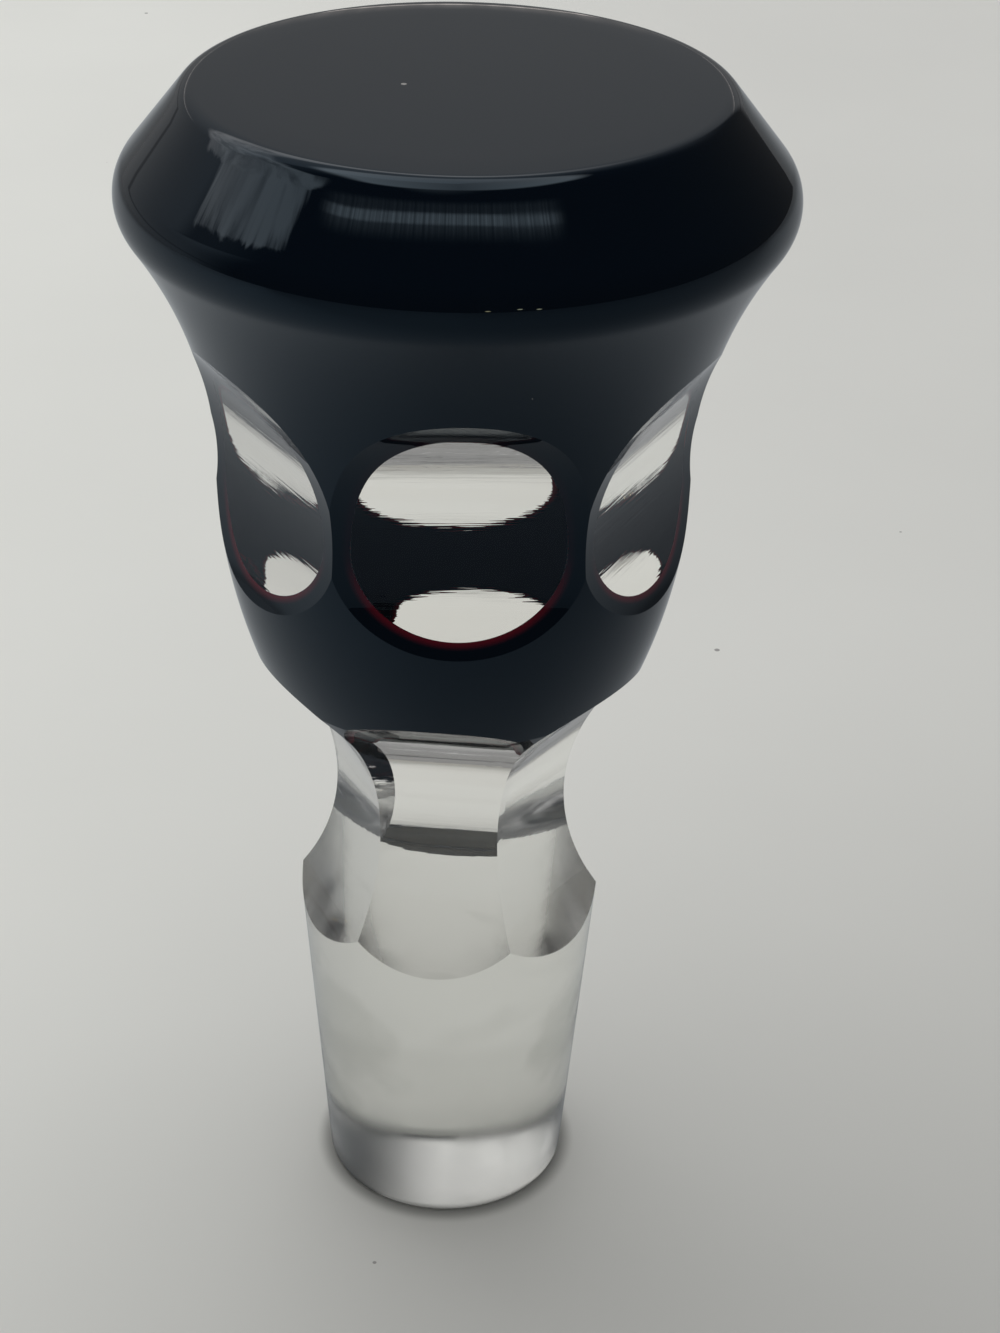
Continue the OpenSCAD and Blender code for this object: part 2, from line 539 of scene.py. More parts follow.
@dataclass(frozen=True)
class ClearGlass:
    """The clear glass: the core of the head, the six-sided neck and the tapered plug, in one closed skin."""

    form: StopperForm
    grid: HeadGrid
    neck_rows: int = 44
    plug_rows: int = 14
    edge_rows: int = 6
    thumb_columns: int = 18

    def build(self) -> bpy.types.Object:
        """Builds the clear glass.

        Returns:
            The finished object.
        """
        mesh = GridMesh()
        inset = self.form.layer_t
        self.grid.skin(mesh, inset)
        self.add_thumbprints(mesh, inset)
        self.add_neck_and_plug(mesh, inset)
        return mesh.build("clear_body")

    def add_thumbprints(self, mesh: GridMesh, inset: float) -> None:
        """Adds the floors of the thumbprints: rows at one height and columns that share the width.

        A point's turn from the cut's middle is a share of the outline's, and its radius is the wheel's
        reach over the cosine of that turn, which is the wheel's own cylinder.

        Args:
            mesh: The mesh that takes the grids.
            inset: How far the clear glass is set in from the outside of the head.
        """
        form, grid = self.form, self.grid
        rows = grid.thumb_rows(inset)
        edge = grid.thumb_half_angle(rows, inset)
        turn = edge[:, None] * np.linspace(-1.0, 1.0, 2 * self.thumb_columns + 1)
        radius = form.thumb_reach(rows)[:, None] / np.cos(np.radians(turn))
        for cut in range(form.cut_count):
            middle = form.first_cut + 2 * grid.half_turn * cut
            mesh.add(on_cylinder(radius, middle + turn, rows[:, None]))

    def add_neck_and_plug(self, mesh: GridMesh, inset: float) -> None:
        """Adds the neck's flats, the plug's cone, the rounding round its end and the flat end.

        Each column runs straight down: over a flat it follows the wheel's face, and from the scallop where
        the flat runs out it follows the cone.

        Args:
            mesh: The mesh that takes the grids.
            inset: How far the clear glass is set in from the outside of the head.
        """
        form, grid = self.form, self.grid
        cosine = np.cos(np.radians(grid.turns_from_cut))

        def clear(height: np.ndarray) -> np.ndarray:
            """Thickness of the glass that the wheel takes from the cone at each column."""
            return form.plug_radius(height) * cosine - form.flat_reach(height)

        start = np.full_like(cosine, form.neck_h)
        scallop = bisect(clear, start, start - SEARCH_SHARE * form.wheel_r)
        top = grid.flat_top(inset)
        height = top + (scallop - top)[None, :] * np.linspace(0.0, 1.0, self.neck_rows + 1)[:, None]
        turns = np.broadcast_to(grid.neck_turns, height.shape)
        mesh.add(on_cylinder(form.flat_reach(height) / cosine[None, :], turns, height))
        taper = math.radians(form.plug_taper)
        edge_r = form.plug_edge_round
        edge_c = np.array([form.plug_end_r - edge_r * (1 - math.sin(taper)) / math.cos(taper), edge_r])
        edge = arc_points(edge_c, edge_r, -taper, -math.pi / 2, self.edge_rows)
        height = scallop + (edge[0, 1] - scallop) * np.linspace(0.0, 1.0, self.plug_rows + 1)[:, None]
        turns = np.broadcast_to(grid.neck_turns, height.shape)
        mesh.add(on_cylinder(form.plug_radius(height), turns, height))
        end = line_points(edge[-1], np.array([0.0, 0.0]), self.edge_rows)
        foot = np.concatenate([edge, end[1:]])
        mesh.add(on_cylinder(foot[:, :1], grid.neck_turns[None, :], foot[:, 1:]))


@dataclass(frozen=True)
class DarkLayer:
    """The dark glass over the head: an outside, an inside and the faces of the cuts through it.

    A face is the lining's where its normal points to the axis by more than the inward lean, or down by more
    than the level lean. The shares are of the wheel's radius, as far as a thumbprint reaches from its middle
    and a flat from the shoulder.
    """

    form: StopperForm
    grid: HeadGrid
    across: int = 6
    overlap: float = 0.02 * MM
    inward_lean: float = 0.02
    level_lean: float = 0.999
    least_radius: float = 0.001 * MM
    thumb_share: float = 0.9
    flat_share: float = 0.35

    def build(self) -> bpy.types.Object:
        """Builds the layer, whose inside reaches a hair into the clear glass, so that no air lies between.

        Returns:
            The finished object.
        """
        inside = self.form.layer_t + self.overlap
        mesh = GridMesh()
        self.grid.skin(mesh, 0.0)
        self.grid.skin(mesh, inside, flip=True)
        self.add_thumb_edges(mesh, inside)
        self.add_neck_edge(mesh, inside)
        piece = mesh.build("dark_casing")
        self.mark_thickness(piece)
        self.mark_lining(piece)
        return piece

    def add_thumb_edges(self, mesh: GridMesh, inside: float) -> None:
        """Adds the ring that each thumbprint shows where it goes through the layer.

        Both outlines are taken at matching rows, and the points between them share the way across in width
        and height. The wheel's reach at that height puts them on its face.

        Args:
            mesh: The mesh that takes the grids.
            inside: How far the layer's inside is set in from its outside.
        """
        form, grid = self.form, self.grid
        share = np.linspace(0.0, 1.0, self.across + 1)[None, :]
        ends = []
        for inset in (0.0, inside):
            rows = grid.thumb_rows(inset)
            turn = np.radians(grid.thumb_half_angle(rows, inset))
            ends.append((form.thumb_reach(rows) * np.tan(turn), rows))
        (outer_width, outer_rows), (inner_width, inner_rows) = ends
        width = outer_width[:, None] * (1 - share) + inner_width[:, None] * share
        height = outer_rows[:, None] * (1 - share) + inner_rows[:, None] * share
        reach = form.thumb_reach(height)
        turn = np.degrees(np.arctan2(width, reach))
        radius = np.hypot(width, reach)
        for cut in range(form.cut_count):
            middle = form.first_cut + 2 * grid.half_turn * cut
            mesh.add(on_cylinder(radius, middle + turn, height), flip=True)
            mesh.add(on_cylinder(radius, middle - turn, height))

    def add_neck_edge(self, mesh: GridMesh, inside: float) -> None:
        """Adds the edge that the neck's flats leave round the foot of the layer, a strip on their faces.

        Args:
            mesh: The mesh that takes the grid.
            inside: How far the layer's inside is set in from its outside.
        """
        form, grid = self.form, self.grid
        share = np.linspace(0.0, 1.0, self.across + 1)[:, None]
        height = grid.flat_top(0.0) * (1 - share) + grid.flat_top(inside) * share
        radius = form.flat_reach(height) / np.cos(np.radians(grid.turns_from_cut))[None, :]
        mesh.add(on_cylinder(radius, np.broadcast_to(grid.neck_turns, height.shape), height))

    def mark_thickness(self, piece: bpy.types.Object) -> None:
        """Stores at each point how much dark glass is left there, as a share of the layer's thickness on top.

        It is the level gap from the layer's inside to its outside. Under a cut the outside is the wheel's
        face, at its reach over the cosine of the turn, and elsewhere it is the blank's.

        Args:
            piece: The layer, whose mesh gets the attribute "layer_left".
        """
        form, grid = self.form, self.grid
        mesh = piece.data
        flat = np.empty(len(mesh.vertices) * 3)
        mesh.vertices.foreach_get("co", flat)
        x, y, z = flat.reshape(-1, 3).T
        turn = np.degrees(np.arctan2(y, x)) - form.first_cut
        inside, whole = form.waist_radius(z, form.layer_t), form.waist_radius(z, 0.0)
        thumb = form.thumb_reach(z) / np.cos(np.radians(grid.from_cut(turn)))
        near_thumb = np.abs(z - form.waist_h) < self.thumb_share * form.wheel_r
        outer = np.where(near_thumb, np.minimum(thumb, whole), whole)
        neck = form.flat_reach(z) / np.cos(np.radians(grid.from_cut(turn - form.neck_turn)))
        near_flat = z < form.shoulder_h + self.flat_share * form.wheel_r
        outer = np.where(near_flat, np.minimum(outer, neck), outer)
        left = np.clip((outer - inside) / form.layer_t, 0.0, 1.0)
        attribute = mesh.attributes.new("layer_left", "FLOAT", "POINT")
        attribute.data.foreach_set("value", left.astype(np.float32))

    def mark_lining(self, piece: bpy.types.Object) -> None:
        """Gives the lining finish to the faces that look inwards at the clear glass.

        They are those whose normal leans to the axis, or straight down under the flat top.

        Args:
            piece: The layer.
        """
        faces = piece.data.polygons
        flat = np.empty(len(faces) * 6)
        faces.foreach_get("center", flat[:len(faces) * 3])
        faces.foreach_get("normal", flat[len(faces) * 3:])
        centre, normal = flat.reshape(2, -1, 3)
        outward = centre[:, 0] * normal[:, 0] + centre[:, 1] * normal[:, 1]
        radius = np.maximum(np.hypot(centre[:, 0], centre[:, 1]), self.least_radius)
        inwards = (outward / radius < -self.inward_lean) | (normal[:, 2] < -self.level_lean)
        skins = np.where(inwards, Skin.LINING.value, Skin.POLISHED.value)
        faces.foreach_set("material_index", skins.astype(np.int32))


def new_group(name: str, inputs: dict[str, float], outputs: list[str]) -> bpy.types.ShaderNodeTree:
    """Makes an empty shader node group with a Vector input, number inputs and number outputs.

    Args:
        name: Name of the group.
        inputs: Name and default of each number input.
        outputs: Names of the number outputs.

    Returns:
        The group's tree, with its input and output nodes in place.
    """
    tree = bpy.data.node_groups.new(name, "ShaderNodeTree")
    tree.interface.new_socket("Vector", in_out="INPUT", socket_type="NodeSocketVector")
    for label, value in inputs.items():
        socket = tree.interface.new_socket(label, in_out="INPUT", socket_type="NodeSocketFloat")
        socket.default_value = value
    for label in outputs:
        tree.interface.new_socket(label, in_out="OUTPUT", socket_type="NodeSocketFloat")
    tree.nodes.new("NodeGroupInput")
    tree.nodes.new("NodeGroupOutput")
    return tree


@dataclass
class Wiring:
    """Adds nodes to a tree and joins them, so that a material reads as a list of steps.

    A value, wherever a method takes one, is another node's output or a constant.
    """

    tree: bpy.types.ShaderNodeTree

    def node(self, kind: str, **values: object) -> bpy.types.Node:
        """Adds a node and sets its plain properties.

        Args:
            kind: The node's type.
            **values: The properties, by name.

        Returns:
            The node.
        """
        made = self.tree.nodes.new(kind)
        for label, value in values.items():
            setattr(made, label, value)
        return made

    def feed(self, socket: Socket, value: Value) -> None:
        """Joins a socket to another node's output, or sets its constant.

        Args:
            socket: The input to feed.
            value: What it gets.
        """
        if isinstance(value, Socket):
            self.tree.links.new(value, socket)
        else:
            socket.default_value = value

    def math(self, operation: str, *values: Value, clamp: bool = False) -> Socket:
        """Adds a Math node.

        Args:
            operation: What the node works out.
            *values: Its inputs, in order.
            clamp: Whether the result is held between 0 and 1.

        Returns:
            The result.
        """
        made = self.node("ShaderNodeMath", operation=operation, use_clamp=clamp)
        for socket, value in zip(made.inputs, values):
            self.feed(socket, value)
        return made.outputs[0]

    def times(self, first: Value, *others: Value) -> Socket:
        """Multiplies numbers together.

        Args:
            first: The first of them.
            *others: The others.

        Returns:
            The product.
        """
        for other in others:
            first = self.math("MULTIPLY", first, other)
        return first

    def hypot(self, x: Socket, y: Socket) -> Socket:
        """Length of the level vector (x, y)."""
        return self.math("SQRT", self.math("MULTIPLY_ADD", x, x, self.times(y, y)))

    def ramp(self, value: Value, low: Value, high: Value, out_low: Value = 0.0,
             out_high: Value = 1.0) -> Socket:
        """Maps a number from one range to another along an S-curve, held at both ends.

        Args:
            value: The number.
            low: Where the range starts. It may be past where it ends, for a fall instead of a rise.
            high: Where it ends.
            out_low: The result at the start.
            out_high: The result at the end.

        Returns:
            The result.
        """
        made = self.node("ShaderNodeMapRange", interpolation_type="SMOOTHSTEP")
        for label, number in zip(("Value", "From Min", "From Max", "To Min", "To Max"),
                                 (value, low, high, out_low, out_high)):
            self.feed(made.inputs[label], number)
        return made.outputs[0]

    def mix(self, share: Value, first: Value, second: Value) -> Socket:
        """Mixes two colours.

        Args:
            share: Share of the second colour.
            first: The first colour.
            second: The second.

        Returns:
            The colour.
        """
        made = self.node("ShaderNodeMix", data_type="RGBA")
        self.feed(made.inputs["Factor"], share)
        self.feed(made.inputs[6], first)
        self.feed(made.inputs[7], second)
        return made.outputs[2]

    def noise(self, vector: Value, scale: Value, detail: float = 2.0, roughness: float = 0.5,
              distortion: float = 0.0) -> Socket:
        """Adds a Noise Texture.

        Args:
            vector: Where it is read.
            scale: Waves to the metre, or to the unit of a direction.
            detail: Number of finer layers.
            roughness: Strength of each layer beside the last.
            distortion: How far the pattern is swirled.

        Returns:
            The noise's value, mostly from 0.3 to 0.7.
        """
        made = self.node("ShaderNodeTexNoise")
        for label, value in (("Vector", vector), ("Scale", scale), ("Detail", detail),
                             ("Roughness", roughness), ("Distortion", distortion)):
            self.feed(made.inputs[label], value)
        return made.outputs[0]

    def axes(self, vector: Socket) -> tuple[Socket, Socket, Socket]:
        """Splits a vector.

        Args:
            vector: The vector.

        Returns:
            Its x, y and z.
        """
        made = self.node("ShaderNodeSeparateXYZ")
        self.feed(made.inputs[0], vector)
        return tuple(made.outputs)

    def on_vectors(self, operation: str, first: Value, second: Value) -> bpy.types.Node:
        """Adds a Vector Math node on two vectors.

        Args:
            operation: What the node works out.
            first: The first vector.
            second: The second.

        Returns:
            The node, whose outputs are "Vector" and "Value".
        """
        made = self.node("ShaderNodeVectorMath", operation=operation)
        self.feed(made.inputs[0], first)
        self.feed(made.inputs[1], second)
        return made

    def stretched(self, vector: Value, x: float, y: float, z: float) -> Socket:
        """Scales a vector by three numbers, to draw a pattern out along an axis."""
        return self.on_vectors("MULTIPLY", vector, (x, y, z)).outputs["Vector"]

    def scaled(self, vector: Value, share: Value) -> Socket:
        """Scales a vector or a colour by one number.

        Args:
            vector: The vector or colour.
            share: The number.

        Returns:
            The scaled one.
        """
        made = self.node("ShaderNodeVectorMath", operation="SCALE")
        self.feed(made.inputs[0], vector)
        self.feed(made.inputs["Scale"], share)
        return made.outputs[0]

    def group(self, tree: bpy.types.ShaderNodeTree, **values: Value) -> Socket:
        """Places a node group that has one output.

        Args:
            tree: The group.
            **values: Its inputs, named with spaces written as underscores.

        Returns:
            Its output.
        """
        made = self.node("ShaderNodeGroup")
        made.node_tree = tree
        for label, value in values.items():
            self.feed(made.inputs[label.replace("_", " ")], value)
        return made.outputs[0]

    def relief(self, shader: bpy.types.Node, height: Socket, depth: float) -> None:
        """Tilts a shader's normal by a height.

        Args:
            shader: The shader.
            height: The height, as a share of the depth.
            depth: The depth, in metres.
        """
        made = self.node("ShaderNodeBump")
        self.feed(made.inputs["Distance"], depth)
        self.feed(made.inputs["Height"], height)
        self.feed(shader.inputs["Normal"], made.outputs[0])


@dataclass(frozen=True)
class Effects:
    """The surface effects that more than one finish uses, each a node group built once."""

    ripple: bpy.types.ShaderNodeTree
    specks: bpy.types.ShaderNodeTree
    smears: bpy.types.ShaderNodeTree

    @classmethod
    def build(cls) -> "Effects":
        """Builds all the groups."""
        return cls(cls.build_ripple(), cls.build_specks(), cls.build_smears())

    @staticmethod
    def build_ripple() -> bpy.types.ShaderNodeTree:
        """Builds the slow waves that hand polishing leaves, with fine level lines where the wheel ran.

        The lines are a noise drawn out level, so that they run round the cuts as the wheel's rim did.

        Returns:
            The group, which gives a height.
        """
        tree = new_group("polish_ripple", {"Wave Scale": 170.0, "Line Scale": 3600.0, "Line Share": 0.06},
                         ["Height"])
        level_share = 0.05
        wiring = Wiring(tree)
        source = tree.nodes["Group Input"].outputs
        slow = wiring.noise(source["Vector"], source["Wave Scale"], 1.0)
        level = wiring.stretched(source["Vector"], level_share, level_share, 1.0)
        lines = wiring.times(wiring.noise(level, source["Line Scale"]), source["Line Share"])
        wiring.feed(tree.nodes["Group Output"].inputs["Height"], wiring.math("ADD", slow, lines))
        return tree

    @staticmethod
    def build_specks() -> bpy.types.ShaderNodeTree:
        """Builds small scattered round specks, such as dust on glass and grit on a table.

        Each cell of a cell pattern has one speck or none, by a random number of its own, and a second one
        sets the speck's size, from the least share of the full size up.

        Returns:
            The group, which gives a mask.
        """
        tree = new_group("scattered_specks", {"Scale": 300.0, "Size": 0.08, "Share": 0.1}, ["Mask"])
        least_share = 0.35
        wiring = Wiring(tree)
        source = tree.nodes["Group Input"].outputs
        cells = wiring.node("ShaderNodeTexVoronoi", feature="F1")
        wiring.feed(cells.inputs["Vector"], source["Vector"])
        wiring.feed(cells.inputs["Scale"], source["Scale"])
        pick = wiring.node("ShaderNodeSeparateColor")
        wiring.feed(pick.inputs[0], cells.outputs["Color"])
        chosen = wiring.math("LESS_THAN", pick.outputs[0], source["Share"])
        size = wiring.times(source["Size"], wiring.math("ADD", pick.outputs[1], least_share))
        inside = wiring.math("LESS_THAN", cells.outputs["Distance"], size)
        wiring.feed(tree.nodes["Group Output"].inputs["Mask"], wiring.times(chosen, inside))
        return tree

    @staticmethod
    def build_smears() -> bpy.types.ShaderNodeTree:
        """Builds faint patches where polish is dulled by handling, over about half of the surface.

        Returns:
            The group, which gives a mask.
        """
        tree = new_group("handling_smears", {"Scale": 90.0, "Spread": 0.12}, ["Mask"])
        start, detail, swirl = 0.5, 5.0, 0.8
        wiring = Wiring(tree)
        source = tree.nodes["Group Input"].outputs
        cloud = wiring.noise(source["Vector"], source["Scale"], detail, distortion=swirl)
        mask = wiring.ramp(cloud, start, wiring.math("ADD", start, source["Spread"]))
        wiring.feed(tree.nodes["Group Output"].inputs["Mask"], mask)
        return tree


def start_material(name: str) -> tuple[bpy.types.Material, Wiring, bpy.types.Node, Socket]:
    """Makes a material with one Principled shader.

    Args:
        name: Name of the material.

    Returns:
        The material, the wiring of its tree, its shader and its Object coordinates.
    """
    material = bpy.data.materials.new(name)
    material.use_nodes = True
    wiring = Wiring(material.node_tree)
    place = wiring.node("ShaderNodeTexCoord").outputs["Object"]
    return material, wiring, material.node_tree.nodes["Principled BSDF"], place


@dataclass(frozen=True)
class Spot:
    """A round spot on the stopper, by its middle and its radius."""

    middle: Triple
    radius: float


@dataclass(frozen=True)
class ClearFinish:
    """Polished clear glass, finely ground on the side of the plug.

    The scales are waves to the metre. An edge is the two values between which a pattern fades in or out.
    The rim is the rounding round the plug's end, and its stop and its raggedness are shares of the radius.
    """

    form: StopperForm
    effects: Effects
    tint: Colour = (0.975, 0.98, 0.965, 1.0)
    tint_deep: Colour = (0.955, 0.962, 0.943, 1.0)
    tint_scale: float = 60.0
    index: float = 1.52
    cast: Colour = (0.62, 0.80, 1.0, 1.0)
    smear_roughness: float = 0.012
    bump_depth: float = 0.006 * MM
    line_shares: Edge = (0.8, 3.0)
    line_stop: float = 8 * MM
    # Partly the grey of the grinding and partly painted shade, for the shaded table seen through the plug
    ground_tint: Colour = (0.87, 0.88, 0.855, 1.0)
    # Colour of the faint random patches and of the spots of painted shade
    ground_patch: Colour = (0.66, 0.67, 0.64, 1.0)
    ground_roughness: Edge = (0.126, 0.252)
    ground_margin: float = 0.03 * MM
    haze_scale: float = 260.0
    haze_edge: Edge = (0.35, 0.65)
    grain_scale: float = 4000.0
    grain_share: float = 0.02
    patch_scale: float = 75.0
    patch_squash: float = 1.6
    patch_swirl: float = 0.6
    patch_edge: Edge = (0.50, 0.62)
    patch_share: float = 0.5
    # Painted shade: darker spots for shadows on the table seen through the plug
    shade_spots: tuple[Spot, ...] = (
        Spot((-7.2 * MM, -6.6 * MM, 15.5 * MM), 6.0 * MM),
        Spot((8.4 * MM, -5.0 * MM, 15.0 * MM), 5.0 * MM),
        Spot((-8.4 * MM, -3.0 * MM, 7.0 * MM), 6.0 * MM))
    spot_ragged: float = 3.0 * MM
    spot_core: float = 0.5
    # Painted shade: the rounding round the plug's end is darkened where it meets the table
    rim_painted_shade: Colour = (0.40, 0.41, 0.39, 1.0)
    rim_roughness: float = 0.21
    rim_foot: Edge = (0.01 * MM, 0.06 * MM)
    rim_stop: Edge = (1.5, 1.0)
    rim_ragged: float = 0.5

    def build(self) -> list[bpy.types.Material]:
        """Builds the finish.

        Returns:
            A list of this one material.
        """
        material, wiring, shader, place = start_material("clear_glass_finish")
        ground = self.ground_mask(wiring, place)
        haze = wiring.noise(place, self.haze_scale, 3.0)
        rim = self.rim_dulled_and_shaded(wiring, place, haze)
        smears = wiring.times(wiring.group(self.effects.smears, Vector=place), self.smear_roughness)
        dulled = wiring.math("MAXIMUM", smears, wiring.times(rim, self.rim_roughness))
        rough = wiring.times(ground, wiring.ramp(haze, *self.haze_edge, *self.ground_roughness))
        wiring.feed(shader.inputs["Roughness"], wiring.math("MAXIMUM", rough, dulled))
        clear = wiring.mix(wiring.noise(place, self.tint_scale, 3.0), self.tint, self.tint_deep)
        # The ground side's colour holds painted shade, in its tint and its spots
        body = wiring.mix(ground, clear, self.frosted(wiring, place, haze))
        # Painted shade on the end's rounding, over the body's colour
        wiring.feed(shader.inputs["Base Color"], wiring.mix(rim, body, self.rim_painted_shade))
        wiring.relief(shader, self.height(wiring, place, ground), self.bump_depth)
        shader.inputs["Metallic"].default_value = 0.0
        shader.inputs["Transmission Weight"].default_value = 1.0
        shader.inputs["IOR"].default_value = self.index
        shader.inputs["Specular Tint"].default_value = self.cast
        return [material]

    def frosted(self, wiring: Wiring, place: Socket, haze: Socket) -> Socket:
        """Colours the ground side of the plug: pale but partly darkened as painted shade, with faint patches
        and a few darker spots of painted shade.

        Args:
            wiring: The material's wiring.
            place: Object coordinates.
            haze: The noise that makes the spots' outlines uneven.

        Returns:
            The colour.
        """
        squashed = wiring.stretched(place, 1.0, 1.0, self.patch_squash)
        cloud = wiring.noise(squashed, self.patch_scale, distortion=self.patch_swirl)
        patches = wiring.times(wiring.ramp(cloud, *self.patch_edge), self.patch_share)
        patches_and_shade = wiring.math("MAXIMUM", patches, self.shade_spot_mask(wiring, place, haze))
        return wiring.mix(patches_and_shade, self.ground_tint, self.ground_patch)

    def height(self, wiring: Wiring, place: Socket, ground: Socket) -> Socket:
        """Height of the surface: a grain where it is ground, the polish's ripple elsewhere.

        The wheel's fine lines are stronger in the thumbprints than on the neck.

        Args:
            wiring: The material's wiring.
            place: Object coordinates.
            ground: Mask of the ground side.

        Returns:
            The height, as a share of the bump's depth.
        """
        grain = wiring.noise(place, self.grain_scale, 3.0)
        _, _, z = wiring.axes(place)
        lines = wiring.ramp(z, self.form.shoulder_h, self.form.waist_h - self.line_stop, *self.line_shares)
        ripple = wiring.group(self.effects.ripple, Vector=place, Line_Share=lines)
        polished = wiring.times(ripple, wiring.math("SUBTRACT", 1.0, ground))
        return wiring.math("ADD", polished, wiring.times(grain, self.grain_share, ground))

    def shade_spot_mask(self, wiring: Wiring, place: Socket, haze: Socket) -> Socket:
        """Marks the spots of painted shade, for shadows on the table seen through the plug: round a few
        points, with uneven outlines.

        Args:
            wiring: The material's wiring.
            place: Object coordinates.
            haze: The noise that makes the outlines uneven.

        Returns:
            The mask.
        """
        total = 0.0
        uneven = wiring.math("MULTIPLY_ADD", haze, 2 * self.spot_ragged, -self.spot_ragged)
        for spot in self.shade_spots:
            gap = wiring.on_vectors("DISTANCE", place, spot.middle).outputs["Value"]
            reach = wiring.math("ADD", gap, uneven)
            inside = wiring.ramp(reach, spot.radius, self.spot_core * spot.radius)
            total = wiring.math("MAXIMUM", total, inside)
        return total

    def rim_dulled_and_shaded(self, wiring: Wiring, place: Socket, haze: Socket) -> Socket:
        """Marks the rounding round the plug's flat end, rubbed dull, and darkened with painted shade where it
        meets the table.

        Args:
            wiring: The material's wiring.
            place: Object coordinates.
            haze: The noise that makes the upper limit ragged.

        Returns:
            The mask.
        """
        edge_r = self.form.plug_edge_round
        _, _, z = wiring.axes(place)
        ragged = wiring.math("MULTIPLY_ADD", haze, self.rim_ragged * edge_r, z)
        start, stop = (share * edge_r for share in self.rim_stop)
        return wiring.times(wiring.ramp(z, *self.rim_foot), wiring.ramp(ragged, start, stop))

    def ground_mask(self, wiring: Wiring, place: Socket) -> Socket:
        """Marks the plug's side: as far out as its cone, under the neck and over the end's rounding.

        Args:
            wiring: The material's wiring.
            place: Object coordinates.

        Returns:
            The mask.
        """
        form = self.form
        x, y, z = wiring.axes(place)
        taper = math.tan(math.radians(form.plug_taper))
        cone = wiring.math("MULTIPLY_ADD", z, taper, form.plug_end_r - self.ground_margin)
        on_side = wiring.math("GREATER_THAN", wiring.hypot(x, y), cone)
        under_neck = wiring.math("LESS_THAN", z, form.neck_h)
        over_edge = wiring.math("GREATER_THAN", z, form.plug_edge_round)
        return wiring.times(on_side, wiring.times(under_neck, over_edge))


@dataclass(frozen=True)
class DarkFinish:
    """Polished ruby glass so deep that it reads as black, and shows red only where a cut thins it."""

    form: StopperForm
    effects: Effects
    index: float = 1.52
    thin_from: float = 0.45
    deep: Colour = (0.0006, 0.0020, 0.0050, 1.0)
    thin: Colour = (0.075, 0.003, 0.008, 1.0)
    thin_shares: Edge = (0.08, 1.0)
    thin_stop: float = 5 * MM
    cast: Colour = (0.52, 0.77, 1.0, 1.0)
    roughness: Edge = (0.01, 0.022)
    bump_depth: float = 0.0012 * MM
    line_share: float = 0.02
    dust: Colour = (0.30, 0.29, 0.28, 1.0)
    dust_scale: float = 260.0
    dust_size: float = 0.04
    dust_share: float = 0.10
    lining: Colour = (0.0014, 0.0021, 0.0085, 1.0)
    lining_mottle: Colour = (0.0030, 0.0032, 0.0120, 1.0)
    lining_thin: Colour = (0.24, 0.006, 0.012, 1.0)
    lining_roughness: Edge = (0.4, 0.6)
    mottle_scale: float = 140.0
    dull_scale: float = 90.0
    dull_edge: Edge = (0.3, 0.7)

    def build(self) -> list[bpy.types.Material]:
        """Builds the finishes in the order of Skin."""
        made = {Skin.POLISHED: self.build_polished(), Skin.LINING: self.build_lining()}
        return [made[skin] for skin in sorted(made, key=lambda skin: skin.value)]

    def build_lining(self) -> bpy.types.Material:
        """Builds the finish where the dark glass meets the clear: no air between, so no gloss.

        Returns:
            The material, red at the thin edges.
        """
        material, wiring, shader, place = start_material("dark_ruby_lining")
        cloud = wiring.mix(wiring.noise(place, self.mottle_scale, 4.0), self.lining, self.lining_mottle)
        colour = wiring.mix(self.thin_mask(wiring), cloud, self.lining_thin)
        haze = wiring.noise(place, self.dull_scale, 3.0)
        rough = wiring.ramp(haze, *self.dull_edge, *self.lining_roughness)
        wiring.feed(shader.inputs["Base Color"], colour)
        wiring.feed(shader.inputs["Roughness"], rough)
        shader.inputs["IOR"].default_value = self.index
        shader.inputs["Specular IOR Level"].default_value = 0.0
        return material

    def build_polished(self) -> bpy.types.Material:
        """Builds the outside and the faces of the cuts, mirror bright under faint smears and dust.

        Returns:
            The material, red where a cut thins it, and more so under the waist.
        """
        material, wiring, shader, place = start_material("dark_ruby_finish")
        _, _, z = wiring.axes(place)
        waist = self.form.waist_h
        facing = wiring.ramp(z, waist, waist - self.thin_stop, *self.thin_shares)
        glass = wiring.mix(wiring.times(self.thin_mask(wiring), facing), self.deep, self.thin)
        specks = wiring.group(self.effects.specks, Vector=place, Scale=self.dust_scale, Size=self.dust_size,
                              Share=self.dust_share)
        wiring.feed(shader.inputs["Base Color"], wiring.mix(specks, glass, self.dust))
        smears = wiring.group(self.effects.smears, Vector=place)
        wiring.feed(shader.inputs["Roughness"], wiring.ramp(smears, 0.0, 1.0, *self.roughness))
        ripple = wiring.group(self.effects.ripple, Vector=place, Line_Share=self.line_share)
        wiring.relief(shader, ripple, self.bump_depth)
        shader.inputs["IOR"].default_value = self.index
        shader.inputs["Specular Tint"].default_value = self.cast
        return material

    def thin_mask(self, wiring: Wiring) -> Socket:
        """Marks where a cut has left the layer thin enough to show its red."""
        left = wiring.node("ShaderNodeAttribute", attribute_type="GEOMETRY", attribute_name="layer_left")
        return wiring.ramp(left.outputs["Fac"], self.thin_from, 0.0)


